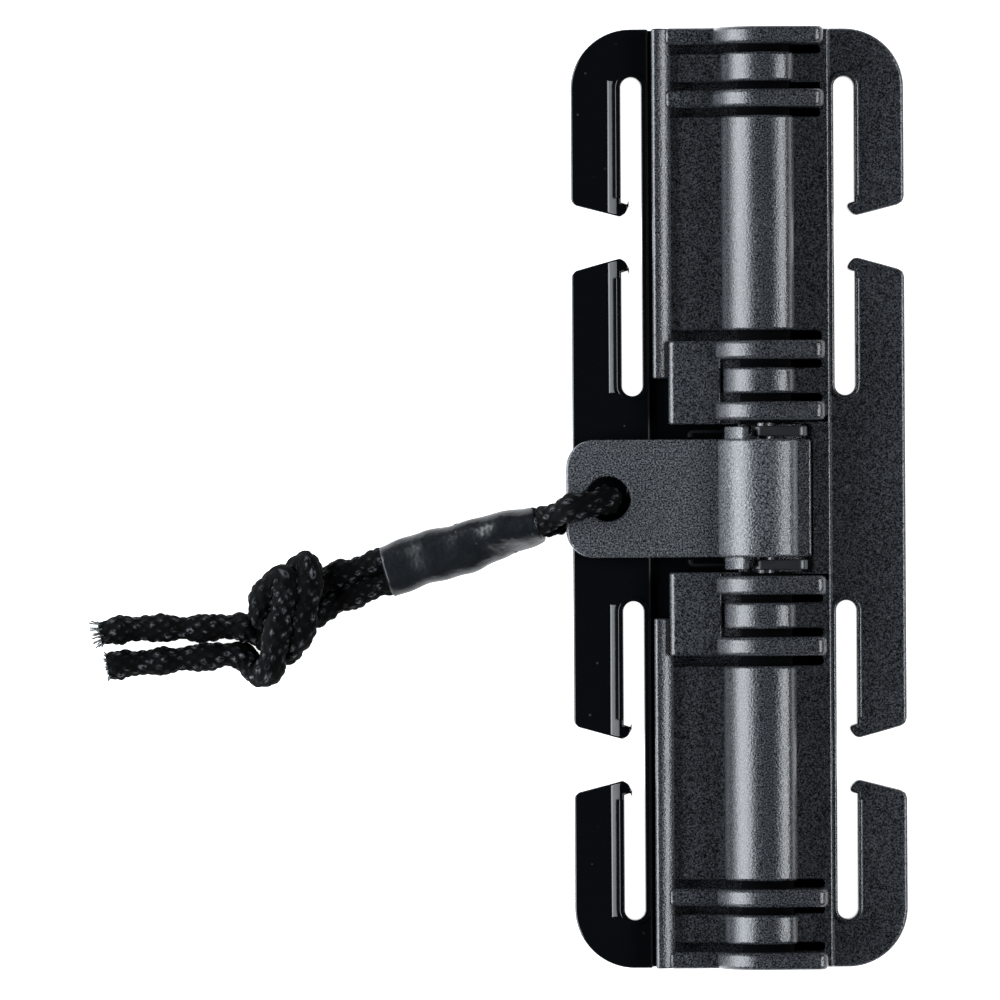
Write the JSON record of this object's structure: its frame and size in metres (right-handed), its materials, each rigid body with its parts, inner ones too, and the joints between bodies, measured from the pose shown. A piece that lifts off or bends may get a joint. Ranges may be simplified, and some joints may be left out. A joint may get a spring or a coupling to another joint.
{
  "type": "quick-release webbing buckle",
  "caption": "Quick-release webbing buckle in halves, with open-sided slots, ribbed hinge barrel, sprung release lever and a knotted pull cord in a shrunk sleeve.",
  "frame": {"origin": "middle of the two halves' overall width and length, on the back face that lies on the table", "axes": "+X from the hook half to the cover half, +Y along the hinge pin, +Z to the front"},
  "size_m": [0.0784, 0.0908, 0.0099],
  "materials": {
    "textured_black": "fine leathery moulded grain",
    "gloss_black": "smooth gloss",
    "dark_collar": "smooth satin",
    "steel": "blued ground pin",
    "black_wire": "blackened spring wire",
    "black_braid": "braided nylon",
    "shrunk_sleeve": "satin shrink tube"
  },
  "bodies": {
    "cover": {"cover_half": "textured_black", "hinge_pin": "steel"},
    "hook": {"hook_half": "gloss_black"},
    "lever": {"release_lever": "textured_black", "cam_collar_upper": "dark_collar", "cam_collar_lower": "dark_collar", "torsion_spring_upper": "black_wire", "torsion_spring_lower": "black_wire", "cord_bight": "black_braid", "cord_neck_a": "black_braid", "cord_neck_b": "black_braid", "cord_knot": "black_braid", "cord_tail_a": "black_braid", "cord_tail_b": "black_braid", "cord_sleeve": "shrunk_sleeve"}
  },
  "joints": [
    {"name": "lever_hinge", "type": "hinge", "parent": "cover", "child": "lever", "pos_m": [0.00283, 0, 0.005], "axis": [0, 1, 0], "range_deg": [0, 100], "stiffness_Nm_per_rad": 0.02, "springref_deg": -34.38},
    {"name": "hook_pull_out", "type": "slide", "parent": "cover", "child": "hook", "axis": [-1, 0, 0], "range_m": [0, 0.0093]}
  ],
  "couplings": [
    {"joint": "hook_pull_out", "follows": "lever_hinge", "m_per_rad": 0.0053}
  ]
}
